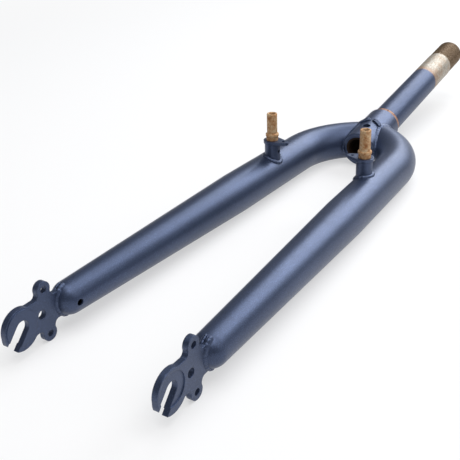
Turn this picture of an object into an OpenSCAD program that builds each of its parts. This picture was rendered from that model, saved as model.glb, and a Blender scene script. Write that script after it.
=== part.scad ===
// Rigid steel bicycle fork for a 26 inch wheel, lying on its back.
// Two curved, tapered blades are welded to a sleeve on a threaded steerer tube.
// Plate dropouts hold the wheel's axle, and two studs on the blades carry rim brake arms.
// The fork is drawn in the plane of its blades: X along the axle, Y up the blades, Z to the front.
// It is then tipped until the crown's back and the lower eyelets of the dropouts rest on the ground.

/* [Steerer] */
// Outer diameter of the steerer tube
steerer_d = 25.4; // [22:0.1:32]
// Bore of the steerer tube, which takes a quill stem
steerer_bore = 22.2; // [18:0.1:29]
// Smaller bore of the thick lower end of the steerer tube
butt_bore = 19.2; // [14:0.1:26]
// Length of the thick lower end of the steerer tube
butt_length = 62; // [20:1:90]
// Length of the steerer tube above the crown race seat
steerer_length = 168; // [100:1:300]
// Length of the thread at the top of the steerer tube
thread_length = 33; // [20:1:80]
// How far the crests of that thread lie inside the surface of the tube
thread_relief = 0.2; // [0.05:0.05:0.3]
// Bevel at the end of the thread
thread_bevel = 0.8; // [0.2:0.1:2]

/* [Crown] */
// Outer diameter of the sleeve that joins the blades to the steerer tube
sleeve_d = 30; // [27:0.1:40]
// Length of the sleeve
sleeve_length = 49; // [35:1:80]
// Outer diameter of the seat that takes the lower headset race
seat_d = 27; // [26:0.1:31]
// Height of the race seat
seat_height = 5; // [4:0.5:12]
// Diameter of the hole through the crown for a mudguard or lamp bolt
crown_hole_d = 6.2; // [5:0.1:10]
// Distance of that hole from the lower end of the sleeve
crown_hole_rise = 16; // [8:0.5:30]
// Angle between the steerer tube and the plane of the blades
rake_angle = 8.1; // [0:0.1:15]
// Distance down the steerer axis from the top of the race seat to the plane of the blades
crown_drop = 57; // [30:1:90]

/* [Blades] */
// Distance between the seats for the axle, the width of the hub that fits
axle_spacing = 100; // [90:1:135]
// Distance from the axle up to the brake studs
axle_to_stud = 254; // [240:1:290]
// Distance between the axes of the blades beside the brake studs
blade_spacing = 86.8; // [70:0.1:110]
// Diameter of a blade from its taper up to the crown
blade_top_d = 30.6; // [25:0.1:36]
// Diameter of a blade at its closed lower end
blade_end_d = 21.2; // [14:0.1:28]
// Wall thickness of a blade
blade_wall = 1.6; // [1:0.1:3]
// Length of the tapered part of a blade
taper_length = 170; // [80:1:250]
// Radius of the bend that brings a blade in to the crown
bend_r = 65; // [40:1:90]
// Distance from the plane where the steerer axis crosses the blades up to the middle of their joined bends
crown_line = 31.75; // [20:0.05:45]
// Distance from the axle to the start of that bend
straight_length = 301.5; // [260:1:380]
// Distance from the axle to the tip of the closed end
cap_tip = 26.5; // [18:0.5:40]
// Diameter of the vent hole in the inner side of a blade
vent_d = 4.2; // [2:0.1:5]
// Distance from the axle to the vent hole
vent_rise = 36; // [30:1:60]

/* [Dropouts] */
// Thickness of the dropout plate
plate_t = 3.6; // [3:0.1:8]
// Height of the pad that meets the hub's locknut
pad_h = 0.5; // [0.3:0.1:2]
// Diameter of that pad
pad_d = 22; // [18:0.5:32]
// Diameter of the shallow recess for the axle nut on the outer face
recess_d = 20; // [16:0.5:26]
// Depth of that recess
recess_depth = 0.6; // [0.3:0.1:2]
// Diameter of the round end of the plate around the axle
plate_end_d = 24; // [22:0.1:36]
// How far the lower tine of the slot reaches past that round end
tine_drop = 2.5; // [0.5:0.1:6]
// Width of the slot for the axle
slot_w = 9.2; // [8:0.1:12]
// Angle of the slot below the line of the blade
slot_angle = 47; // [0:1:90]
// Diameter of the threaded eyelets for racks and mudguards
eyelet_hole_d = 4.2; // [4:0.1:6]
// Diameter of the lobe around an eyelet
eyelet_d = 9.8; // [8:0.1:18]
// Distance from the axle up the blade to the eyelets
eyelet_rise = 19; // [14:0.5:30]
// Distance of each eyelet from the line of the blade
eyelet_offset = 14.8; // [10:0.1:20]
// Diameter of the middle hole
middle_hole_d = 5.6; // [4:0.1:10]
// Distance from the axle up the blade to the middle hole
middle_hole_rise = 15.2; // [10:0.1:24]
// Radius of the hollows in the plate's outline
fillet_r = 3; // [1:0.5:8]
// Half the width of the plate between its two eyelets and the axle
body_half_w = 10.4; // [8:0.1:14]
// Half the width of the tongue that enters the blade
tongue_half_w = 8.4; // [5:0.1:10]
// Depth of the tongue inside the blade
tongue_depth = 14; // [8:1:25]

/* [Brake studs] */
// Distance between the two studs
stud_spacing = 78; // [70:0.5:90]
// Diameter of the stud that the brake arm turns on
stud_d = 8; // [7.9:0.05:8.2]
// Height of that stud above its collar
stud_length = 15.9; // [14:0.1:26]
// Diameter of the lip under the stud
lip_d = 10.2; // [9:0.1:14]
// Height of that lip
lip_h = 2.2; // [1:0.1:4]
// Diameter of the collar below the lip
collar_d = 9.2; // [8.5:0.1:12]
// Height of that collar
collar_h = 3.3; // [2:0.1:8]
// Diameter of the threaded hole in the end of a stud
stud_thread_d = 5; // [4:0.1:6]
// Depth of that hole
stud_thread_depth = 13; // [8:1:20]
// Diameter of the boss welded to the blade
boss_d = 12; // [10:0.1:16]
// Height of the top of the boss above the axis of the blade
boss_top = 28.3; // [20:0.1:35]
// Thickness of the spring plate on the boss
spring_plate_t = 2.2; // [1.5:0.1:4]
// Diameter of the round part of the spring plate
spring_plate_d = 13.6; // [12:0.1:18]
// Reach of the spring plate's tab from the axis of the stud
tab_reach = 13.8; // [10:0.5:18]
// Radius of the end of that tab
tab_end_r = 2.8; // [2:0.1:5]
// Distance of the spring hole from the axis of the stud
spring_hole_reach = 9.7; // [8:0.1:14]
// Diameter of the spring hole
spring_hole_d = 2.4; // [1.5:0.1:4]
// Diameter of the vent hole in the side of the boss
boss_vent_d = 2.6; // [1.5:0.1:4]

/* [Welds] */
// Width of the weld bead around the joint of a blade and the sleeve
crown_weld_w = 5; // [2:0.1:8]
// Thickness of that bead
crown_weld_t = 1.6; // [0.5:0.1:3]
// Width of the weld bead at the foot of a boss
boss_weld_w = 2.4; // [1:0.1:5]
// Width of the weld bead between a blade and its dropout, on each face
dropout_weld_w = 2.6; // [1.5:0.1:4]
// Thickness of that bead
dropout_weld_t = 1.5; // [0.5:0.1:3]

/* [Hidden] */
paint = "#31405c";
bare_steel = "#8d8577";
rust = "#9a7244";
weld_paint = "#3a4966";
join = 0.01;
over = 1;
drill_clear = 5;
beyond = 100;
bend_turn = 90;

// Blade line, measured up the blade from the axle
axle_x = axle_spacing / 2 + pad_h + plate_t / 2;
splay = atan((axle_x - blade_spacing / 2) / axle_to_stud);
bend_x = axle_x - straight_length * sin(splay) - bend_r * cos(splay);
crown_to_bend = sqrt(bend_r * bend_r - bend_x * bend_x);
axle_y = crown_line + bend_r * sin(splay) - straight_length * cos(splay) - crown_to_bend;
top_r = blade_top_d / 2;
end_r = blade_end_d / 2;
cap_start = cap_tip + end_r;
drill_length = pad_h + plate_t + 2 * drill_clear;
taper_end = cap_start + taper_length;

// Steerer line, measured up its axis from the plane of the blades
seat_top = crown_drop;
sleeve_top = seat_top - seat_height;
sleeve_bottom = sleeve_top - sleeve_length;
steerer_top = seat_top + steerer_length;
crown_hole_s = sleeve_bottom + crown_hole_rise;
steerer_r = steerer_d / 2;
sleeve_r = sleeve_d / 2;
thread_start = steerer_top - thread_length;
thread_r = steerer_r - thread_relief;

// Brake studs, measured to the front from the plane of the blades
stud_x = stud_spacing / 2;
stud_y = axle_y + axle_to_stud;
plate_under = boss_top - spring_plate_t;
collar_top = boss_top + collar_h;
lip_top = collar_top + lip_h;
stud_top = lip_top + stud_length;
shank_depth = 10;
weld_half_w = tongue_half_w + 2;
boss_vent_drop = 8.7;
boss_vent_z = boss_top - boss_vent_drop;
boss_weld_sink = 5;
boss_weld_h = 7.5;
stud_bevel = 0.5;
lip_bevel = 0.6;

// Resting pose: the line that touches the crown's back and the lower eyelets is level
eyelet_y = axle_y + eyelet_rise;
eyelet_r = eyelet_d / 2;
rest_run = crown_line - eyelet_y;
rest_tilt = atan(eyelet_offset / rest_run)
    + asin((eyelet_r - top_r) / sqrt(rest_run * rest_run + eyelet_offset * eyelet_offset));
rest_rise = crown_line * sin(rest_tilt) + top_r;
steerer_tilt = rake_angle - rest_tilt;
far_y = steerer_top * cos(steerer_tilt) + (thread_r - thread_bevel) * sin(steerer_tilt);
near_y = axle_y * cos(rest_tilt) - plate_end_d / 2;
middle_y = (far_y + near_y) / 2;

// Places its children, drawn in the plane of the blades, as the fork lies on the ground
module at_rest() {
    translate([0, -middle_y, rest_rise])
        rotate([-rest_tilt, 0, 0])
            children();
}

// Places its children, drawn along Z, on the steerer's axis
module on_steerer() {
    rotate([rake_angle - 90, 0, 0])
        children();
}

// Places its children, drawn for the right side, on the side asked for
module on_side(side) {
    mirror([side < 0 ? 1 : 0, 0, 0])
        children();
}

// Places its children on one blade's own line, Y up the blade from the axle
// A blade is alike in front and behind, so the left one is the right one turned over
module on_blade(side) {
    rotate([0, side < 0 ? 180 : 0, 0])
        translate([axle_x, axle_y, 0])
            rotate([0, 0, splay])
                children();
}

// Half of the section of a blade below its bend, made smaller by inset all round
module blade_profile(inset) {
    difference() {
        union() {
            translate([0, cap_start])
                circle(r = end_r - inset, $fn = 64);
            polygon([
                [0, cap_start], [end_r - inset, cap_start], [top_r - inset, taper_end],
                [top_r - inset, straight_length], [0, straight_length]
            ]);
        }
        translate([-blade_end_d, 0])
            square([blade_end_d, straight_length]);
    }
}

// The bend of one blade up to and past the middle of the crown, made smaller by inset all round
module bend_shape(side, inset) {
    on_blade(side)
        translate([-bend_r, straight_length, 0])
            rotate_extrude(angle = bend_turn, $fn = 96)
                translate([bend_r, 0])
                    circle(r = top_r - inset, $fn = 64);
}

// The straight, tapered part of one blade, filled
module straight_shape(side) {
    on_blade(side)
        rotate([-90, 0, 0])
            rotate_extrude($fn = 64)
                blade_profile(0);
}

// The wall of one blade: its straight, tapered part and its bend, hollow from end to end
module blade_tube(side) {
    on_blade(side) {
        rotate([-90, 0, 0])
            rotate_extrude($fn = 64)
                difference() {
                    blade_profile(0);
                    blade_profile(blade_wall);
                }
        translate([-bend_r, straight_length, 0])
            rotate_extrude(angle = bend_turn, $fn = 96)
                translate([bend_r, 0])
                    difference() {
                        circle(r = top_r, $fn = 64);
                        circle(r = top_r - blade_wall, $fn = 64);
                    }
    }
}

// Everything on one side of the fork's middle plane
module half_space(side) {
    translate([side < 0 ? -2 * beyond : 0, -5 * beyond, -2 * beyond])
        cube([2 * beyond, 10 * beyond, 4 * beyond]);
}

// The outer shape of the sleeve and the steerer tube, filled, with room for a bead around it
module sleeve_shape(extra) {
    on_steerer()
        translate([0, 0, sleeve_bottom])
            cylinder(h = sleeve_length, r = sleeve_r + extra, $fn = 96);
}

// One blade: a bent, tapered tube cut to fit the sleeve, with a slot in its closed end for the dropout
module blade(side) {
    color(paint) at_rest()
        difference() {
            blade_tube(side);
            half_space(-side);
            on_steerer()
                translate([0, 0, -beyond])
                    cylinder(h = 3 * beyond, r = sleeve_r, $fn = 96);
            on_steerer() crown_hole();
            on_side(side) dropout_blank();
            on_side(side) translate([0, axle_y + vent_rise, 0])
                rotate([0, 90, 0])
                    cylinder(h = axle_x, d = vent_d, $fn = 32);
        }
}

// Outline of a dropout around the axle: X to the front, Y down the line of the blade
module dropout_outline() {
    offset(r = -fillet_r, $fn = 48) offset(r = fillet_r, $fn = 48) {
        circle(d = plate_end_d, $fn = 96);
        translate([-tine_drop, 0])
            circle(d = plate_end_d, $fn = 96);
        for (s = [-1, 1])
            translate([s * eyelet_offset, -eyelet_rise])
                circle(d = eyelet_d, $fn = 72);
        translate([-body_half_w, -eyelet_rise - eyelet_d / 2])
            square([2 * body_half_w, eyelet_rise]);
        translate([-tongue_half_w, -(cap_tip + tongue_depth)])
            square([2 * tongue_half_w, cap_tip + tongue_depth - eyelet_rise]);
    }
}

// The dropout plate before its holes are drilled, in the plane of the blades
module dropout_blank() {
    translate([axle_spacing / 2 + pad_h, axle_y, 0])
        rotate([0, 90, 0])
            rotate(180)
                linear_extrude(plate_t)
                    dropout_outline();
}

// A round hole through the dropout at a distance to the front and up the blade from the axle
module dropout_hole(front, up, d) {
    translate([axle_spacing / 2 - drill_clear, axle_y + up, front])
        rotate([0, 90, 0])
            cylinder(h = drill_length, d = d, $fn = 48);
}

// One dropout: a plate with a pad inside, a recess outside, an axle slot and three holes
module dropout(side) {
    color(paint) at_rest() on_side(side)
        difference() {
            union() {
                dropout_blank();
                translate([axle_spacing / 2, axle_y, 0])
                    rotate([0, 90, 0])
                        cylinder(h = pad_h + join, d = pad_d, $fn = 96);
            }
            translate([axle_spacing / 2 + pad_h + plate_t - recess_depth, axle_y, 0])
                rotate([0, 90, 0])
                    cylinder(h = drill_clear, d = recess_d, $fn = 96);
            translate([axle_spacing / 2 - drill_clear, axle_y, 0])
                rotate([0, 90, 0])
                    cylinder(h = drill_length, d = slot_w, $fn = 72);
            translate([axle_spacing / 2 - drill_clear, axle_y, 0])
                rotate([slot_angle, 0, 0])
                    translate([0, -plate_end_d, -slot_w / 2])
                        cube([drill_length, plate_end_d, slot_w]);
            for (s = [-1, 1])
                dropout_hole(s * eyelet_offset, eyelet_rise, eyelet_hole_d);
            dropout_hole(0, middle_hole_rise, middle_hole_d);
        }
}

// Weld bead on the closed end of a blade, along both faces of the dropout
module dropout_weld(side) {
    color(weld_paint) at_rest() on_side(side)
        difference() {
            intersection() {
                on_blade(1)
                    translate([0, cap_start, 0])
                        sphere(r = end_r + dropout_weld_t, $fn = 64);
                translate([axle_x - plate_t / 2 - dropout_weld_w, axle_y + cap_tip - dropout_weld_w, -weld_half_w])
                    cube([plate_t + 2 * dropout_weld_w, end_r + over, 2 * weld_half_w]);
            }
            straight_shape(1);
            dropout_blank();
        }
}

// The steerer tube, with a thick lower end and room inside its upper end for a quill
module steerer_tube() {
    color(bare_steel) at_rest() on_steerer()
        difference() {
            union() {
                translate([0, 0, sleeve_bottom])
                    cylinder(h = thread_start - sleeve_bottom, r = steerer_r, $fn = 96);
                translate([0, 0, thread_start - join])
                    cylinder(h = thread_length - thread_bevel + join, r = thread_r, $fn = 96);
                translate([0, 0, steerer_top - thread_bevel - join])
                    cylinder(h = thread_bevel + join, r1 = thread_r, r2 = thread_r - thread_bevel, $fn = 96);
            }
            translate([0, 0, sleeve_bottom + butt_length])
                cylinder(h = steerer_top, d = steerer_bore, $fn = 96);
            translate([0, 0, sleeve_bottom - over])
                cylinder(h = butt_length + 2 * over, d = butt_bore, $fn = 96);
            crown_hole();
        }
}

// The hole through the front and the back of the crown
module crown_hole() {
    translate([0, 0, crown_hole_s])
        rotate([90, 0, 0])
            cylinder(h = 2 * sleeve_d, d = crown_hole_d, center = true, $fn = 48);
}

// The sleeve around the lower end of the steerer tube
module crown_sleeve() {
    color(paint) at_rest() on_steerer()
        difference() {
            translate([0, 0, sleeve_bottom])
                cylinder(h = sleeve_length, r = sleeve_r, $fn = 96);
            translate([0, 0, sleeve_bottom - over])
                cylinder(h = sleeve_length + 2 * over, r = steerer_r, $fn = 96);
            crown_hole();
        }
}

// The seat above the sleeve that takes the lower headset race
module race_seat() {
    color(rust) at_rest() on_steerer()
        translate([0, 0, sleeve_top])
            difference() {
                cylinder(h = seat_height, d = seat_d, $fn = 96);
                translate([0, 0, -over])
                    cylinder(h = seat_height + 2 * over, r = steerer_r, $fn = 96);
            }
}

// Weld bead around the joint of a blade and the sleeve
module crown_weld(side) {
    color(weld_paint) at_rest()
        difference() {
            intersection() {
                bend_shape(side, -crown_weld_t);
                sleeve_shape(crown_weld_w / 2);
            }
            half_space(-side);
            bend_shape(side, 0);
            sleeve_shape(0);
            on_steerer() crown_hole();
        }
}

// Places its children, drawn around Z, on the axis of the right brake stud
module on_stud() {
    translate([stud_x, stud_y, 0])
        children();
}

// Boss on the front of a blade, with a plate whose tab holds the brake spring
module boss(side) {
    color(paint) at_rest() on_side(side)
        difference() {
            union() {
                on_stud() cylinder(h = plate_under + join, d = boss_d, $fn = 64);
                on_stud() translate([0, 0, plate_under])
                    linear_extrude(spring_plate_t)
                        spring_plate_outline();
            }
            straight_shape(1);
            on_stud() translate([0, 0, boss_top - shank_depth])
                cylinder(h = shank_depth + over, d = stud_d, $fn = 64);
            on_stud() translate([-spring_hole_reach, 0, plate_under - over])
                cylinder(h = spring_plate_t + 2 * over, d = spring_hole_d, $fn = 32);
            on_stud() translate([-boss_d, 0, boss_vent_z])
                rotate([0, 90, 0])
                    cylinder(h = boss_d, d = boss_vent_d, $fn = 32);
        }
}

// Outline of the spring plate: a disc with a tab towards the middle of the fork
module spring_plate_outline() {
    hull() {
        circle(d = spring_plate_d, $fn = 64);
        translate([-(tab_reach - tab_end_r), 0])
            circle(r = tab_end_r, $fn = 48);
    }
}

// Weld bead around the foot of a boss
module boss_weld(side) {
    color(weld_paint) at_rest() on_side(side)
        difference() {
            on_stud()
                translate([0, 0, top_r - boss_weld_sink])
                    cylinder(h = boss_weld_h, d1 = boss_d + 4 * boss_weld_w, d2 = boss_d, $fn = 64);
            straight_shape(1);
            on_stud() cylinder(h = plate_under, d = boss_d, $fn = 64);
        }
}

// Steel stud that a brake arm turns on, screwed into its boss
module stud(side) {
    color(rust) at_rest() on_side(side) on_stud()
        difference() {
            union() {
                translate([0, 0, boss_top - shank_depth])
                    cylinder(h = stud_top - boss_top + shank_depth - stud_bevel, d = stud_d, $fn = 64);
                translate([0, 0, stud_top - stud_bevel])
                    cylinder(h = stud_bevel, d1 = stud_d, d2 = stud_d - 2 * stud_bevel, $fn = 64);
                translate([0, 0, boss_top])
                    cylinder(h = collar_h, d = collar_d, $fn = 64);
                translate([0, 0, collar_top])
                    cylinder(h = lip_h - lip_bevel, d = lip_d, $fn = 64);
                translate([0, 0, lip_top - lip_bevel])
                    cylinder(h = lip_bevel, d1 = lip_d, d2 = lip_d - 2 * lip_bevel, $fn = 64);
            }
            translate([0, 0, stud_top - stud_thread_depth])
                cylinder(h = stud_thread_depth + over, d = stud_thread_d, $fn = 48);
        }
}

steerer_tube();
crown_sleeve();
race_seat();
blade(-1);  // left_blade
blade(1);  // right_blade
dropout(-1);  // left_dropout
dropout(1);  // right_dropout
boss(-1);  // left_boss
boss(1);  // right_boss
stud(-1);  // left_stud
stud(1);  // right_stud
crown_weld(-1);  // left_crown_weld
crown_weld(1);  // right_crown_weld
dropout_weld(-1);  // left_dropout_weld
dropout_weld(1);  // right_dropout_weld
boss_weld(-1);  // left_boss_weld
boss_weld(1);  // right_boss_weld
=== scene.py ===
"""Looks of a rigid bicycle fork with cantilever brake studs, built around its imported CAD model.

Lengths in the shape functions are millimetres in the plane of the blades: X across the fork,
Y up the fork towards the handlebar, Z out of its front. lay_down turns them into scene metres.
"""

import math

import bmesh
import bpy
import numpy as np
from mathutils import Matrix, Vector


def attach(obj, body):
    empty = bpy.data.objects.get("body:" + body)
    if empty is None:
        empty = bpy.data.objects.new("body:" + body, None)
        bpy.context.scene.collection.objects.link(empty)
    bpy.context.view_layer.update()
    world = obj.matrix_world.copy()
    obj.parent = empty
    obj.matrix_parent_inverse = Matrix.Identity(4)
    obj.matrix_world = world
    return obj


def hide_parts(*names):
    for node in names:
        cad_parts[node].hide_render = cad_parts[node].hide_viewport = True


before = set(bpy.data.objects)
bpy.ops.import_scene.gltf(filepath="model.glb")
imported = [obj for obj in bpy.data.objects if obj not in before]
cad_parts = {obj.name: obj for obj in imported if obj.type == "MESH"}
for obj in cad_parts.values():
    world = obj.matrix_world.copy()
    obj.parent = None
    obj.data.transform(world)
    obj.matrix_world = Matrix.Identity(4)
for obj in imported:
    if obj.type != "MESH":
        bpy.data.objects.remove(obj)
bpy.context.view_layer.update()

# How the fork lies on the ground
REST_TILT = math.radians(0.74)
FORK_ORIGIN = np.array([0.0, 57.658, 15.708])
RAKE = math.radians(8.1)

# The two blades and their bend
AXLE_X = 52.3
AXLE_Y = -328.0
SPLAY = math.atan((AXLE_X - 43.4) / 254.0)
BLADE_TOP_R = 15.3
BLADE_END_R = 10.6
CAP_START = 37.1
TAPER_LENGTH = 170.0
STRAIGHT_LENGTH = 301.5
BEND_R = 65.0
BEND_CENTRE = np.array([
    AXLE_X - STRAIGHT_LENGTH * math.sin(SPLAY) - BEND_R * math.cos(SPLAY),
    AXLE_Y + STRAIGHT_LENGTH * math.cos(SPLAY) - BEND_R * math.sin(SPLAY),
])
PLATE_T = 3.6

# The steerer tube and the sleeve around its lower end, measured up the steerer's axis
SLEEVE_R = 15.0
SLEEVE_BOTTOM = 3.0
BUTT_END = 65.0
THREAD_START = 192.0
STEERER_TOP = 225.0
STEERER_R = 12.7
THREAD_R = 12.5
BORE_R = 11.1
BUTT_R = 9.6
CROWN_HOLE_R = 3.1
CROWN_HOLE_S = 19.0
THREAD_DEPTH = 0.55
STEERER_COLUMNS = 160
STEERER_PITCH = 25.4 / 24
PAINT_END = 150.0

# The brake studs and their bosses
STUD_X = 39.0
STUD_Y = -74.0
BOSS_R = 6.0
BOSS_TOP = 28.3
STUD_R = 4.0
STUD_TOP = 49.7
STUD_PITCH = 0.9
STUD_THREAD_DEPTH = 0.32
STUD_BORE_R = 2.5
STUD_COLLAR_R = 4.6
STUD_LIP_R = 5.1
STUD_COLUMNS = 72

# Weld beads: points around a bead, and its half width, height and length of one ripple
BEAD_COLUMNS = 20
CROWN_BEAD = (2.4, 1.1, 2.6)
BOSS_BEAD = (1.8, 1.35, 2.4)
DROPOUT_BEAD = (1.8, 1.05, 2.3)


def lay_down(points):
    """Turns points of the blade plane, in mm, by the rest tilt about X and lifts them onto the floor."""
    x, y, z = points[..., 0], points[..., 1], points[..., 2]
    turned = np.stack([
        x,
        y * math.cos(REST_TILT) + z * math.sin(REST_TILT),
        z * math.cos(REST_TILT) - y * math.sin(REST_TILT),
    ], axis=-1)
    return (turned + FORK_ORIGIN) / 1000.0


STEERER_AXIS = np.array([0.0, math.cos(RAKE), math.sin(RAKE)])
STEERER_FRONT = np.array([0.0, -math.sin(RAKE), math.cos(RAKE)])
ACROSS = np.array([1.0, 0.0, 0.0])
UP_THE_FORK = np.array([0.0, 1.0, 0.0])
STRAIGHT_OUT = np.array([0.0, 0.0, 1.0])


def grid_faces(rows, columns, closed_rows):
    """Corner numbers of the faces of a grid whose columns run round to the start, as its rows may."""
    r = np.arange(rows if closed_rows else rows - 1)
    c = np.arange(columns)
    r0, c0 = np.meshgrid(r, c, indexing="ij")
    r1, c1 = (r0 + 1) % rows, (c0 + 1) % columns
    corners = [r0 * columns + c0, r0 * columns + c1, r1 * columns + c1, r1 * columns + c0]
    return np.stack(corners, axis=-1)


def make_piece(name, points, faces, material, smooth_angle=35):
    """Makes one closed mesh from points in metres, with its faces turned outwards, and lets it ride."""
    mesh = bpy.data.meshes.new(name)
    mesh.from_pydata(points.reshape(-1, 3).tolist(), [], [tuple(face) for face in faces])
    piece = bpy.data.objects.new(name, mesh)
    bpy.context.scene.collection.objects.link(piece)
    finish_mesh(mesh, smooth_angle)
    mesh.materials.append(material)
    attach(piece, "root")
    return piece


def finish_mesh(mesh, smooth_angle):
    """Merges double points, turns the faces outwards, and marks edges sharper than the angle."""
    work = bmesh.new()
    work.from_mesh(mesh)
    bmesh.ops.remove_doubles(work, verts=work.verts, dist=1e-6)
    bmesh.ops.recalc_face_normals(work, faces=work.faces)
    limit = math.radians(smooth_angle)
    for edge in work.edges:
        edge.smooth = len(edge.link_faces) == 2 and edge.calc_face_angle(0.0) < limit
    for face in work.faces:
        face.smooth = True
    work.to_mesh(mesh)
    work.free()


def dressed_copy(node, material, smooth_angle=35):
    """A merged copy of a CAD node's mesh, which shades smoothly and stands for the node."""
    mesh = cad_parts[node].data.copy()
    mesh.name = node + "_skin"
    if mesh.has_custom_normals:
        attribute = mesh.attributes.get("custom_normal")
        if attribute:
            mesh.attributes.remove(attribute)
    mesh.materials.clear()
    piece = bpy.data.objects.new(node + "_skin", mesh)
    bpy.context.scene.collection.objects.link(piece)
    finish_mesh(mesh, smooth_angle)
    mesh.materials.append(material)
    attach(piece, "root")
    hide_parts(node)


def stepped_profile(corners, steps):
    """A closed profile of (along, radius) corners, each side cut into steps of about the length asked."""
    corners = np.asarray(corners, float)
    after = np.roll(corners, -1, axis=0)
    runs = []
    for start, end, step in zip(corners, after, steps):
        count = max(1, int(round(np.hypot(*(end - start)) / step)))
        share = np.arange(count)[:, None] / count
        runs.append(start + (end - start) * share)
    return np.concatenate(runs)


def sawtooth(turns):
    """A V-shaped wave between 0 and 1 that repeats once a turn."""
    return np.abs(2.0 * (turns - np.floor(turns)) - 1.0)


def turned_part(profile, columns, origin, axis, front, across, thread):
    """Turns a closed profile round an axis.

    Point(angle, step) = origin + along * axis + radius * (sin(angle) * across + cos(angle) * front),
    where thread(along, radius, angle) gives the radius with its screw thread cut in.
    """
    angle = 2 * np.pi * np.arange(columns) / columns
    along = np.repeat(profile[:, :1], columns, axis=1)
    radius = np.repeat(profile[:, 1:], columns, axis=1)
    turn = np.repeat(angle[None, :], len(profile), axis=0)
    radius = thread(along, radius, turn)
    return origin + along[..., None] * axis + radius[..., None] * (
        np.sin(turn)[..., None] * across + np.cos(turn)[..., None] * front)


# Materials

PAINT_METAL = 0.7
PAINT_COAT = 0.35


def new_material(name):
    """A new material, with its node tree and its main shader."""
    material = bpy.data.materials.new(name)
    material.use_nodes = True
    tree = material.node_tree
    shader = tree.nodes["Principled BSDF"]
    return material, tree, shader


def node_of(tree, kind, **values):
    """A node with its settings: names with a capital are inputs, the others are settings of the node."""
    node = tree.nodes.new(kind)
    for key, value in values.items():
        if key[0].isupper():
            node.inputs[key.replace("_", " ")].default_value = value
        else:
            setattr(node, key, value)
    return node


def noise_on(tree, where, scale, detail=3.0, roughness=0.55):
    """Noise on Object coordinates, at a number of waves per metre."""
    noise = node_of(tree, "ShaderNodeTexNoise", Scale=scale, Detail=detail, Roughness=roughness)
    tree.links.new(where, noise.inputs["Vector"])
    return noise.outputs["Fac"]


def ramp_on(tree, value, stops):
    """A colour ramp through (place, colour) stops."""
    ramp = tree.nodes.new("ShaderNodeValToRGB")
    elements = ramp.color_ramp.elements
    while len(elements) > 1:
        elements.remove(elements[-1])
    elements[0].position, elements[0].color = stops[0][0], stops[0][1]
    for place, colour in stops[1:]:
        elements.new(place).color = colour
    tree.links.new(value, ramp.inputs["Fac"])
    return ramp.outputs["Color"]


def grey(value):
    """A grey of a given lightness, as a colour."""
    return (value, value, value, 1.0)


def mix_on(tree, share, first, second):
    """A mix of two colours, each a socket or a fixed colour, by a share between 0 and 1."""
    mix = node_of(tree, "ShaderNodeMix", data_type="RGBA")
    for source, socket in ((share, mix.inputs[0]), (first, mix.inputs[6]), (second, mix.inputs[7])):
        if hasattr(source, "links"):
            tree.links.new(source, socket)
        else:
            socket.default_value = source
    return mix.outputs[2]


def maths(tree, operation, first, second=0.0, third=0.0):
    """One operation on up to three values, each a socket or a number."""
    node = node_of(tree, "ShaderNodeMath", operation=operation)
    for source, socket in zip((first, second, third), node.inputs):
        if hasattr(source, "links"):
            tree.links.new(source, socket)
        else:
            socket.default_value = source
    return node.outputs[0]


def smooth_step(tree, value, start, end):
    """0 below start, 1 above end, and a soft rise between them."""
    node = node_of(tree, "ShaderNodeMapRange", interpolation_type="SMOOTHSTEP")
    node.inputs["From Min"].default_value = start
    node.inputs["From Max"].default_value = end
    tree.links.new(value, node.inputs["Value"])
    return node.outputs["Result"]


def bump_on(tree, height, strength, distance, before=None):
    """A bump of a height in metres, on top of another bump if one is given."""
    bump = node_of(tree, "ShaderNodeBump", Strength=strength, Distance=distance)
    tree.links.new(height, bump.inputs["Height"])
    if before is not None:
        tree.links.new(before, bump.inputs["Normal"])
    return bump.outputs["Normal"]


def paint_layer(tree, where):
    """Satin blue metallic paint: colour, roughness and bump, each as a socket."""
    cloud = noise_on(tree, where, 18.0, 3.0)
    flake = noise_on(tree, where, 2600.0, 1.0, 0.6)
    speck = noise_on(tree, where, 700.0, 2.0, 0.6)
    body = ramp_on(tree, cloud, [(0.3, (0.038, 0.058, 0.120, 1)), (0.7, (0.052, 0.076, 0.150, 1))])
    sparkle = ramp_on(tree, flake, [(0.42, grey(0.72)), (0.56, grey(1.0)), (0.72, grey(1.5))])
    lit = node_of(tree, "ShaderNodeMix", data_type="RGBA", blend_type="MULTIPLY")
    lit.inputs[0].default_value = 1.0
    tree.links.new(body, lit.inputs[6])
    tree.links.new(sparkle, lit.inputs[7])
    rough = ramp_on(tree, speck, [(0.35, grey(0.38)), (0.65, grey(0.47))])
    soft_edge = node_of(tree, "ShaderNodeBevel", samples=6, Radius=0.0008).outputs["Normal"]
    peel = bump_on(tree, noise_on(tree, where, 420.0, 2.0, 0.5), 0.12, 0.0001, soft_edge)
    grain = bump_on(tree, flake, 0.16, 0.00004, peel)
    return lit.outputs[2], rough, grain


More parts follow.
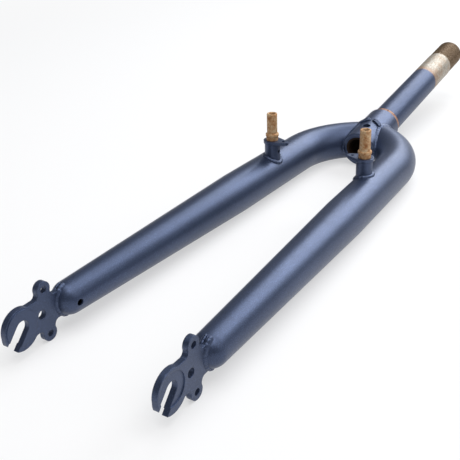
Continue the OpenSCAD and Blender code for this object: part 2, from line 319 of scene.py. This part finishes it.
def steerer_place(tree, where):
    """Millimetres up the steerer's axis from the blade plane, and millimetres out from that axis."""
    origin = FORK_ORIGIN / 1000.0
    axis = lay_down(STEERER_AXIS) * 1000.0 - FORK_ORIGIN
    shifted = node_of(tree, "ShaderNodeVectorMath", operation="SUBTRACT")
    tree.links.new(where, shifted.inputs[0])
    shifted.inputs[1].default_value = tuple(origin)
    dot = node_of(tree, "ShaderNodeVectorMath", operation="DOT_PRODUCT")
    tree.links.new(shifted.outputs[0], dot.inputs[0])
    dot.inputs[1].default_value = tuple(axis)
    along = maths(tree, "MULTIPLY", dot.outputs["Value"], 1000.0)
    on_axis = node_of(tree, "ShaderNodeVectorMath", operation="SCALE")
    on_axis.inputs[0].default_value = tuple(axis)
    tree.links.new(dot.outputs["Value"], on_axis.inputs["Scale"])
    out = node_of(tree, "ShaderNodeVectorMath", operation="SUBTRACT")
    tree.links.new(shifted.outputs[0], out.inputs[0])
    tree.links.new(on_axis.outputs[0], out.inputs[1])
    length = node_of(tree, "ShaderNodeVectorMath", operation="LENGTH")
    tree.links.new(out.outputs[0], length.inputs[0])
    return along, maths(tree, "MULTIPLY", length.outputs["Value"], 1000.0)


def blade_paint():
    """The paint of the blades, sleeve, dropouts and bosses, with a few rusty chips."""
    material, tree, shader = new_material("blue_satin_paint")
    where = tree.nodes.new("ShaderNodeTexCoord").outputs["Object"]
    colour, rough, normal = paint_layer(tree, where)
    chips = ramp_on(tree, noise_on(tree, where, 160.0, 5.0, 0.75), [(0.755, grey(0)), (0.775, grey(1))])
    rusty = mix_on(tree, chips, colour, (0.13, 0.055, 0.02, 1))
    tree.links.new(rusty, shader.inputs["Base Color"])
    tree.links.new(mix_on(tree, chips, rough, grey(0.85)), shader.inputs["Roughness"])
    tree.links.new(normal, shader.inputs["Normal"])
    shader.inputs["Metallic"].default_value = PAINT_METAL
    shader.inputs["Coat Weight"].default_value = PAINT_COAT
    shader.inputs["Coat Roughness"].default_value = 0.42
    return material


def weld_paint():
    """The same paint over a weld, with the small ripples and pits of the bead under it."""
    material, tree, shader = new_material("blue_paint_on_weld")
    where = tree.nodes.new("ShaderNodeTexCoord").outputs["Object"]
    colour, rough, normal = paint_layer(tree, where)
    pits = bump_on(tree, noise_on(tree, where, 900.0, 3.0, 0.7), 0.5, 0.0003, normal)
    tree.links.new(colour, shader.inputs["Base Color"])
    tree.links.new(rough, shader.inputs["Roughness"])
    tree.links.new(pits, shader.inputs["Normal"])
    shader.inputs["Metallic"].default_value = PAINT_METAL
    shader.inputs["Coat Weight"].default_value = PAINT_COAT
    shader.inputs["Coat Roughness"].default_value = 0.42
    return material


def steerer_finish():
    """Paint up to a soft edge, then bare steel with rust tints, a brown thread, and a bore painted near
    black: partly dark rust, partly painted shade.
    """
    material, tree, shader = new_material("steerer_paint_steel_and_rust")
    where = tree.nodes.new("ShaderNodeTexCoord").outputs["Object"]
    along, out = steerer_place(tree, where)
    colour, rough, normal = paint_layer(tree, where)
    wander = maths(tree, "MULTIPLY_ADD", noise_on(tree, where, 90.0, 3.0), 7.0, along)
    fine = noise_on(tree, where, 650.0, 4.0, 0.7)
    blotch = noise_on(tree, where, 130.0, 4.0, 0.65)
    steel = ramp_on(tree, fine, [
        (0.3, (0.235, 0.205, 0.165, 1)), (0.6, (0.42, 0.385, 0.33, 1)), (0.8, (0.5, 0.47, 0.42, 1))])
    tint = ramp_on(tree, blotch, [(0.45, grey(0)), (0.75, grey(0.75))])
    steel = mix_on(tree, tint, steel, (0.30, 0.17, 0.09, 1))
    brown = ramp_on(tree, fine, [
        (0.3, (0.085, 0.05, 0.028, 1)), (0.55, (0.235, 0.165, 0.105, 1)), (0.75, (0.34, 0.26, 0.18, 1))])
    bare = smooth_step(tree, wander, PAINT_END + 2.5, PAINT_END + 5.5)
    edge = maths(tree, "SUBTRACT", 1.0, smooth_step(tree, wander, PAINT_END + 5.0, PAINT_END + 14.0))
    steel = mix_on(tree, maths(tree, "MULTIPLY", edge, 0.5), steel, (0.27, 0.12, 0.05, 1))
    thread = smooth_step(tree, along, THREAD_START - 1.5, THREAD_START + 1.0)
    metal = mix_on(tree, thread, steel, brown)
    skin = mix_on(tree, bare, colour, metal)
    # The bore's wall is painted near black: partly dark rust, partly painted shade for the little light that
    # reaches inside the tube.
    bore_rust_and_painted_shade = maths(tree, "SUBTRACT", 1.0, smooth_step(tree, out, BORE_R + 0.15, BORE_R + 0.45))
    skin = mix_on(tree, bore_rust_and_painted_shade, skin, mix_on(tree, blotch, (0.012, 0.008, 0.006, 1), (0.04, 0.02, 0.01, 1)))
    roughness = mix_on(tree, bare, rough, ramp_on(tree, fine, [(0.3, grey(0.62)), (0.7, grey(0.4))]))
    tree.links.new(skin, shader.inputs["Base Color"])
    tree.links.new(mix_on(tree, bore_rust_and_painted_shade, roughness, grey(0.9)), shader.inputs["Roughness"])
    tree.links.new(bump_on(tree, fine, 0.35, 0.0001, normal), shader.inputs["Normal"])
    shader.inputs["Metallic"].default_value = 0.55
    return material


def rust_finish(name, dark, middle, light):
    """Rust in three tones over steel, rough where it is dark."""
    material, tree, shader = new_material(name)
    where = tree.nodes.new("ShaderNodeTexCoord").outputs["Object"]
    blotch = noise_on(tree, where, 330.0, 4.0, 0.7)
    fine = noise_on(tree, where, 1500.0, 3.0, 0.7)
    colour = ramp_on(tree, blotch, [(0.34, dark), (0.5, middle), (0.66, light)])
    pits = ramp_on(tree, fine, [(0.35, grey(0.45)), (0.5, grey(1.0))])
    pitted = node_of(tree, "ShaderNodeMix", data_type="RGBA", blend_type="MULTIPLY")
    pitted.inputs[0].default_value = 0.6
    tree.links.new(colour, pitted.inputs[6])
    tree.links.new(pits, pitted.inputs[7])
    tree.links.new(pitted.outputs[2], shader.inputs["Base Color"])
    tree.links.new(ramp_on(tree, blotch, [(0.3, grey(0.85)), (0.7, grey(0.5))]), shader.inputs["Roughness"])
    tree.links.new(bump_on(tree, fine, 0.5, 0.00015), shader.inputs["Normal"])
    shader.inputs["Metallic"].default_value = 0.35
    return material


# Steerer tube


def steerer_thread(along, radius, angle):
    """Cuts a V thread, 24 to the inch, into the outer wall, fading in over its first turn."""
    outer = radius > BORE_R + 0.5
    fade = np.clip((along - THREAD_START) / 1.5, 0, 1) * np.clip((STEERER_TOP - along) / 0.8, 0, 1)
    cut = THREAD_DEPTH * sawtooth(along / STEERER_PITCH - angle / (2 * np.pi))
    return radius - np.where(outer, cut * fade, 0.0)


def steerer_piece(material):
    """The steerer tube: one closed profile turned round its axis, its crown hole bent out of the grid.

    Near the hole a point at (column, row) offsets u, v from the hole's middle, in hole radii, with
    m = max(|u|, |v|) moves onto a circle of radius m where m is 1, and keeps its place where m is 2.
    """
    columns, hole_columns = STEERER_COLUMNS, 6
    step = CROWN_HOLE_R / hole_columns
    low, high = SLEEVE_BOTTOM, STEERER_TOP
    hole_low, hole_high = CROWN_HOLE_S - 2 * CROWN_HOLE_R, CROWN_HOLE_S + 2 * CROWN_HOLE_R
    corners = [
        (low, STEERER_R), (hole_low, STEERER_R), (hole_high, STEERER_R), (THREAD_START, STEERER_R),
        (THREAD_START + 0.3, THREAD_R), (high - 0.8, THREAD_R), (high, THREAD_R - 0.8),
        (high, BORE_R), (BUTT_END + 0.4, BORE_R), (BUTT_END, BUTT_R),
        (hole_high, BUTT_R), (hole_low, BUTT_R), (low, BUTT_R),
    ]
    steps = [2.0, step, 4.0, 0.3, STEERER_PITCH / 8, 0.3, 0.5, 4.0, 0.4, 4.0, step, 2.0, 1.5]
    profile = stepped_profile(corners, steps)
    rows = len(profile)
    angle = np.repeat((2 * np.pi * np.arange(columns) / columns)[None, :], rows, axis=0)
    along = np.repeat(profile[:, :1], columns, axis=1)
    radius = np.repeat(profile[:, 1:], columns, axis=1)
    side_angle = (angle + np.pi / 2) % np.pi - np.pi / 2
    column_angle = 2 * np.pi * hole_columns / columns
    u = side_angle / column_angle
    v = (along - CROWN_HOLE_S) / CROWN_HOLE_R
    m = np.maximum(np.abs(u), np.abs(v))
    flat_length = np.maximum(np.hypot(u, v), 1e-9)
    pull = np.clip(2.0 - m, 0, 1)
    round_u = u * m / flat_length
    round_v = v * m / flat_length
    drilled = np.arcsin(np.clip(round_u * CROWN_HOLE_R / radius, -1, 1))
    angle = angle + (drilled - side_angle) * pull
    along = along + (round_v - v) * CROWN_HOLE_R * pull
    radius = steerer_thread(along, radius, angle)
    points = along[..., None] * STEERER_AXIS + radius[..., None] * (
        np.sin(angle)[..., None] * ACROSS + np.cos(angle)[..., None] * STEERER_FRONT)
    faces = grid_faces(rows, columns, True)
    next_row = np.roll(np.arange(rows), -1)
    next_column = np.roll(np.arange(columns), -1)
    middle_u = (u + u[:, next_column]) / 2
    middle_v = (v + v[next_row]) / 2
    in_hole = (np.abs(middle_u) < 1) & (np.abs(middle_v) < 1) & (np.abs(u - u[:, next_column]) < 1)
    in_hole &= np.abs(radius - radius[next_row]) < 0.1
    kept = faces[~in_hole]
    outer_wall = profile[:, 1] > BORE_R + 0.5
    walls = hole_walls(u, v, outer_wall, columns)
    faces = kept.tolist() + walls
    return make_piece("steerer_tube_threaded", lay_down(points), faces, material)


def hole_walls(u, v, outer_wall, columns):
    """Faces that join the hole's rim on the outer wall to its rim on the inner wall, front and back."""
    walls = []
    rim = np.abs(np.maximum(np.abs(u), np.abs(v)) - 1.0) < 1e-6
    for first_column in (-columns // 4, columns // 4):
        half = np.zeros_like(rim)
        half[:, np.arange(first_column, first_column + columns // 2) % columns] = True
        loops = []
        for wall in (outer_wall, ~outer_wall):
            row, column = np.nonzero(rim & half & wall[:, None])
            around = np.argsort(np.arctan2(v[row, column], u[row, column]))
            loops.append((row * columns + column)[around])
        outer, inner = loops
        after = np.roll(np.arange(len(outer)), -1)
        walls += np.stack([outer, outer[after], inner[after], inner], axis=-1).tolist()
    return walls


# Brake studs


def stud_thread(along, radius, angle):
    """Cuts the inner thread of a stud's bore and leaves the outside as turned."""
    inner = (radius < 2.6) & (radius > 1.0)
    fade = np.clip((STUD_TOP - 0.7 - along) / 0.6, 0, 1) * np.clip((along - (STUD_TOP - 12.2)) / 0.8, 0, 1)
    cut = STUD_THREAD_DEPTH * fade * sawtooth(along / STUD_PITCH - angle / (2 * np.pi))
    return radius - np.where(inner, cut, 0.0)


def stud_piece(side, material):
    """A brake stud: a collar, a lip and a post with a threaded bore, turned round the stud's axis."""
    foot, collar_top, lip_top = BOSS_TOP - 10.0, BOSS_TOP + 3.3, BOSS_TOP + 5.5
    corners = [
        (foot, 0.0), (foot, STUD_R), (BOSS_TOP, STUD_R), (BOSS_TOP, 4.45), (BOSS_TOP + 0.15, STUD_COLLAR_R),
        (collar_top - 0.15, STUD_COLLAR_R), (collar_top, 4.7), (collar_top, 4.95),
        (collar_top + 0.25, STUD_LIP_R), (lip_top - 0.6, STUD_LIP_R),
        (lip_top - 0.2, 4.85), (lip_top, 4.4), (lip_top, 4.2), (lip_top + 0.3, STUD_R),
        (STUD_TOP - 0.5, STUD_R), (STUD_TOP - 0.12, 3.8), (STUD_TOP, 3.5), (STUD_TOP, 2.95),
        (STUD_TOP - 0.45, STUD_BORE_R), (STUD_TOP - 13.0, STUD_BORE_R), (STUD_TOP - 13.8, 0.0),
    ]
    steps = [4.0, 4.0, 1.0, 1.0, 1.0, 1.0, 1.0, 1.0, 1.0, 1.0, 1.0, 1.0, 1.0, 1.0, 2.0, 1.0, 1.0, 1.0,
             STUD_PITCH / 8, 3.0, 20.0]
    profile = stepped_profile(corners, steps)
    origin = np.array([side * STUD_X, STUD_Y, 0.0])
    points = turned_part(profile, STUD_COLUMNS, origin, STRAIGHT_OUT, UP_THE_FORK, ACROSS, stud_thread)
    faces = grid_faces(len(profile), STUD_COLUMNS, False).reshape(-1, 4).tolist()
    name = ("left" if side < 0 else "right") + "_stud"
    piece = make_piece(name + "_turned", lay_down(points), faces, material)
    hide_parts(name)


# Weld beads


def weld_bead(path, out, size, seed, closed):
    """A rippled bead along a path, whose size gives its half width, its height and one ripple's length.

    Point(t, angle) = path(t) + scale(t) * (height * cos(angle) * out + width * sin(angle) * side)
    + lean(t) * cos(angle)^2 * ahead, where side lies across the path, and scale swells and shrinks once
    for each ripple and falls to nothing at an open end.
    """
    width, height, ripple = size
    if closed:
        ahead = (np.roll(path, -1, axis=0) - np.roll(path, 1, axis=0)) / 2
    else:
        ahead = np.gradient(path, axis=0)
    run = np.linalg.norm(ahead, axis=1)
    length = np.concatenate([[0.0], np.cumsum(run)[:-1]])
    ahead = ahead / run[:, None]
    out = out - (out * ahead).sum(axis=1, keepdims=True) * ahead
    out = out / np.linalg.norm(out, axis=1, keepdims=True)
    side = np.cross(ahead, out)
    random = np.random.default_rng(seed)
    total = run.sum()
    count = max(4, int(round(total / ripple)))
    phase = length / total * count
    heights = np.append(random.uniform(0.86, 1.1, count), 0.95)
    lumps = np.interp(phase % count, np.arange(count + 1), heights)
    scale = lumps * (0.88 + 0.16 * np.sqrt(np.abs(np.sin(np.pi * phase))))
    if not closed:
        scale = scale * np.sqrt(np.clip(np.minimum(length, total - length) / width, 0, 1))
    lean = 0.35 * ripple * scale * (np.abs(np.sin(np.pi * phase)) - 0.5)
    angle = 2 * np.pi * np.arange(BEAD_COLUMNS) / BEAD_COLUMNS
    return (path[:, None, :]
            + (height * scale)[:, None, None] * np.cos(angle)[None, :, None] * out[:, None, :]
            + (width * scale)[:, None, None] * np.sin(angle)[None, :, None] * side[:, None, :]
            + lean[:, None, None] * np.cos(angle)[None, :, None] ** 2 * ahead[:, None, :])


def bead_piece(name, beads, closed, material, nodes):
    """One or more beads made one piece, which stands for the CAD bead of the same joint."""
    points, faces, first = [], [], 0
    for bead in beads:
        rows, columns = bead.shape[:2]
        points.append(bead.reshape(-1, 3))
        faces += (grid_faces(rows, columns, closed).reshape(-1, 4) + first).tolist()
        if not closed:
            faces.append([first + c for c in range(columns)])
            faces.append([first + (rows - 1) * columns + c for c in range(columns)])
        first += rows * columns
    piece = make_piece(name, lay_down(np.concatenate(points)), faces, material, 60)
    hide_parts(*nodes)


def bend_gap(points):
    """How far points lie outside the bent tube: their distance from its centre arc, less its radius."""
    across = np.abs(points[..., 0]) - BEND_CENTRE[0]
    ring = np.hypot(across, points[..., 1] - BEND_CENTRE[1]) - BEND_R
    return np.hypot(ring, points[..., 2]) - BLADE_TOP_R


def sleeve_point(along, angle):
    """The point of the sleeve's wall at a height up the steerer and an angle from its front."""
    return along[:, None] * STEERER_AXIS + SLEEVE_R * (
        np.sin(angle)[:, None] * ACROSS + np.cos(angle)[:, None] * STEERER_FRONT)


def crown_joint(side, upper):
    """The line where the sleeve's wall meets the bent tube, found by halving along each line of the wall."""
    angle = side * np.radians(np.linspace(4.0, 176.0, 260))
    middle = np.full(angle.shape, BEND_CENTRE[1] + BEND_R * 0.93)
    centre_arc = np.linspace(-20.0, 20.0, 81)
    gaps = np.stack([bend_gap(sleeve_point(middle + shift, angle)) for shift in centre_arc])
    near = middle + centre_arc[np.argmin(gaps, axis=0)]
    far = near + (26.0 if upper else -26.0)
    for _ in range(40):
        half = (near + far) / 2
        bore_rust_and_painted_shade = bend_gap(sleeve_point(half, angle)) < 0
        near, far = np.where(bore_rust_and_painted_shade, half, near), np.where(bore_rust_and_painted_shade, far, half)
    path = sleeve_point(near, angle)
    out = np.sin(angle)[:, None] * ACROSS + np.cos(angle)[:, None] * STEERER_FRONT
    return path, out + STEERER_AXIS * (0.9 if upper else -0.9)


def crown_beads(side, material):
    """The two beads around one blade's joint with the sleeve, on its steerer side and its wheel side."""
    name = ("left" if side < 0 else "right") + "_crown_weld"
    beads = []
    for number, upper in enumerate((True, False)):
        path, out = crown_joint(side, upper)
        beads.append(weld_bead(path, out, CROWN_BEAD, 11 + number + 5 * side, False))
    bead_piece(name + "_bead", beads, False, material, [name])


def blade_radius(run):
    """The radius of the straight part of a blade at a distance from the axle: a straight taper, then even."""
    return BLADE_END_R + (BLADE_TOP_R - BLADE_END_R) * np.clip((run - CAP_START) / TAPER_LENGTH, 0, 1)


def boss_bead(side, material):
    """The bead around a boss: a circle round its axis, lifted onto the round of the blade."""
    angle = 2 * np.pi * np.arange(200) / 200
    x = STUD_X + (BOSS_R + 0.5) * np.cos(angle)
    y = STUD_Y + (BOSS_R + 0.5) * np.sin(angle)
    run = -(x - AXLE_X) * math.sin(SPLAY) + (y - AXLE_Y) * math.cos(SPLAY)
    off = (x - AXLE_X) * math.cos(SPLAY) + (y - AXLE_Y) * math.sin(SPLAY)
    radius = blade_radius(run)
    z = np.sqrt(np.maximum(radius ** 2 - off ** 2, 1.0))
    path = np.stack([side * x, y, z], axis=-1)
    out = np.stack([side * np.cos(angle), np.sin(angle), 1.1 + 0 * angle], axis=-1)
    name = ("left" if side < 0 else "right") + "_boss_weld"
    bead = weld_bead(path, out, BOSS_BEAD, 31 + side, True)
    bead_piece(name + "_bead", [bead], True, material, [name])


def dropout_beads(side, material):
    """The beads along both faces of a dropout: arcs where each face cuts the round end of the blade."""
    centre = np.array([AXLE_X - CAP_START * math.sin(SPLAY), AXLE_Y + CAP_START * math.cos(SPLAY), 0.0])
    beads = []
    for number, face in enumerate((-1, 1)):
        plane = AXLE_X + face * PLATE_T / 2
        radius = math.sqrt(BLADE_END_R ** 2 - (plane - centre[0]) ** 2)
        angle = np.radians(np.linspace(-78.0, 78.0, 150))
        arc = [np.full(angle.shape, plane), centre[1] - radius * np.cos(angle), radius * np.sin(angle)]
        path = np.stack(arc, axis=-1)
        out = path - centre
        out = out / np.linalg.norm(out, axis=1, keepdims=True) + np.array([face * 0.8, 0.0, 0.0])
        mirror = np.array([side, 1.0, 1.0])
        beads.append(weld_bead(path * mirror, out * mirror, DROPOUT_BEAD, 51 + 2 * number + side, False))
    name = ("left" if side < 0 else "right") + "_dropout_weld"
    bead_piece(name + "_bead", beads, False, material, [name])


# Build

paint = blade_paint()
bead_paint = weld_paint()
steerer_material = steerer_finish()
ring_rust = rust_finish("ring_rust", (0.16, 0.07, 0.04, 1), (0.34, 0.17, 0.10, 1), (0.44, 0.27, 0.19, 1))
stud_rust = rust_finish("stud_rust", (0.34, 0.14, 0.05, 1), (0.50, 0.29, 0.14, 1), (0.60, 0.45, 0.28, 1))

painted_nodes = (
    "left_blade", "right_blade", "crown_sleeve", "left_dropout", "right_dropout", "left_boss", "right_boss")
for node in painted_nodes:
    dressed_copy(node, paint)
dressed_copy("race_seat", ring_rust)

steerer = steerer_piece(steerer_material)
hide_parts("steerer_tube")
for side in (-1, 1):
    stud_piece(side, stud_rust)
    crown_beads(side, bead_paint)
    boss_bead(side, bead_paint)
    dropout_beads(side, bead_paint)


# Studio


def add_floor():
    """A large pale floor that keeps the object's shadow and shows white to the camera elsewhere."""
    mesh = bpy.data.meshes.new("floor")
    corners = 12.0 * np.array([[-1.0, -1.0, 0.0], [1.0, -1.0, 0.0], [1.0, 1.0, 0.0], [-1.0, 1.0, 0.0]])
    mesh.from_pydata(corners.tolist(), [], [(0, 1, 2, 3)])
    floor = bpy.data.objects.new("floor", mesh)
    bpy.context.scene.collection.objects.link(floor)
    material, tree, shader = new_material("pale_floor")
    shader.inputs["Base Color"].default_value = (0.86, 0.86, 0.865, 1)
    shader.inputs["Roughness"].default_value = 1.0
    shader.inputs["Specular IOR Level"].default_value = 0.0
    glow = node_of(tree, "ShaderNodeEmission", Color=(0.97, 0.97, 0.975, 1), Strength=1.0)
    rays = tree.nodes.new("ShaderNodeLightPath")
    seen = maths(tree, "MAXIMUM", rays.outputs["Is Camera Ray"], rays.outputs["Is Glossy Ray"])
    place = node_of(tree, "ShaderNodeVectorMath", operation="LENGTH")
    tree.links.new(tree.nodes.new("ShaderNodeTexCoord").outputs["Object"], place.inputs[0])
    far = maths(tree, "MULTIPLY_ADD", smooth_step(tree, place.outputs["Value"], 0.45, 1.3), 0.45, 0.55)
    share = maths(tree, "MULTIPLY", seen, far)
    blend = tree.nodes.new("ShaderNodeMixShader")
    tree.links.new(share, blend.inputs[0])
    tree.links.new(shader.outputs[0], blend.inputs[1])
    tree.links.new(glow.outputs[0], blend.inputs[2])
    tree.links.new(blend.outputs[0], tree.nodes["Material Output"].inputs["Surface"])
    mesh.materials.append(material)


def add_softbox(name, place, target, width, height, watts, colour):
    """One soft rectangular lamp at a place, turned to a target."""
    lamp = bpy.data.lights.new(name, "AREA")
    lamp.shape = "RECTANGLE"
    lamp.size, lamp.size_y = width, height
    lamp.energy = watts
    lamp.color = colour
    holder = bpy.data.objects.new(name, lamp)
    bpy.context.scene.collection.objects.link(holder)
    direction = Vector(target) - Vector(place)
    turn = direction.to_track_quat("-Z", "Y").to_matrix().to_4x4()
    holder.matrix_world = Matrix.Translation(Vector(place)) @ turn


def add_camera():
    """The camera at the photograph's angle, from a fit of its place and its three directions."""
    camera_data = bpy.data.cameras.new("camera")
    camera_data.lens = 59.436
    camera_data.sensor_width = 36.0
    camera_data.shift_x = -0.0326
    camera_data.shift_y = -0.0043
    camera_data.clip_start = 0.01
    camera = bpy.data.objects.new("camera", camera_data)
    bpy.context.scene.collection.objects.link(camera)
    right = (0.84423, 0.53471, -0.03683)
    up = (-0.22262, 0.41234, 0.88341)
    back = (0.48755, -0.7376, 0.46715)
    turn = Matrix((right, up, back)).transposed()
    camera.matrix_world = Matrix.Translation((0.24666, -0.49191, 0.26114)) @ turn.to_4x4()
    bpy.context.scene.camera = camera


add_floor()
add_camera()
add_softbox("top_softbox", (0.25, -0.15, 1.3), (0.0, -0.05, 0.0), 1.0, 1.4, 13.0, (1.0, 1.0, 1.0))
add_softbox("back_softbox", (0.3, 1.45, 1.1), (0.0, 0.0, 0.0), 1.7, 1.1, 32.0, (0.95, 0.975, 1.0))
add_softbox("right_softbox", (1.4, 0.1, 0.9), (0.0, -0.02, 0.0), 0.8, 0.8, 3.0, (1.0, 0.99, 0.97))

world = bpy.data.worlds.new("studio")
world.use_nodes = True
sky_tree = world.node_tree
sky = sky_tree.nodes["Background"]
sky.inputs["Color"].default_value = (0.97, 0.97, 0.975, 1)
sky_rays = sky_tree.nodes.new("ShaderNodeLightPath")
sky_strength = maths(sky_tree, "MULTIPLY_ADD", sky_rays.outputs["Is Camera Ray"], 0.78, 0.22)
sky_tree.links.new(sky_strength, sky.inputs["Strength"])
bpy.context.scene.world = world
bpy.context.scene.view_settings.view_transform = "Standard"

bpy.context.view_layer.update()
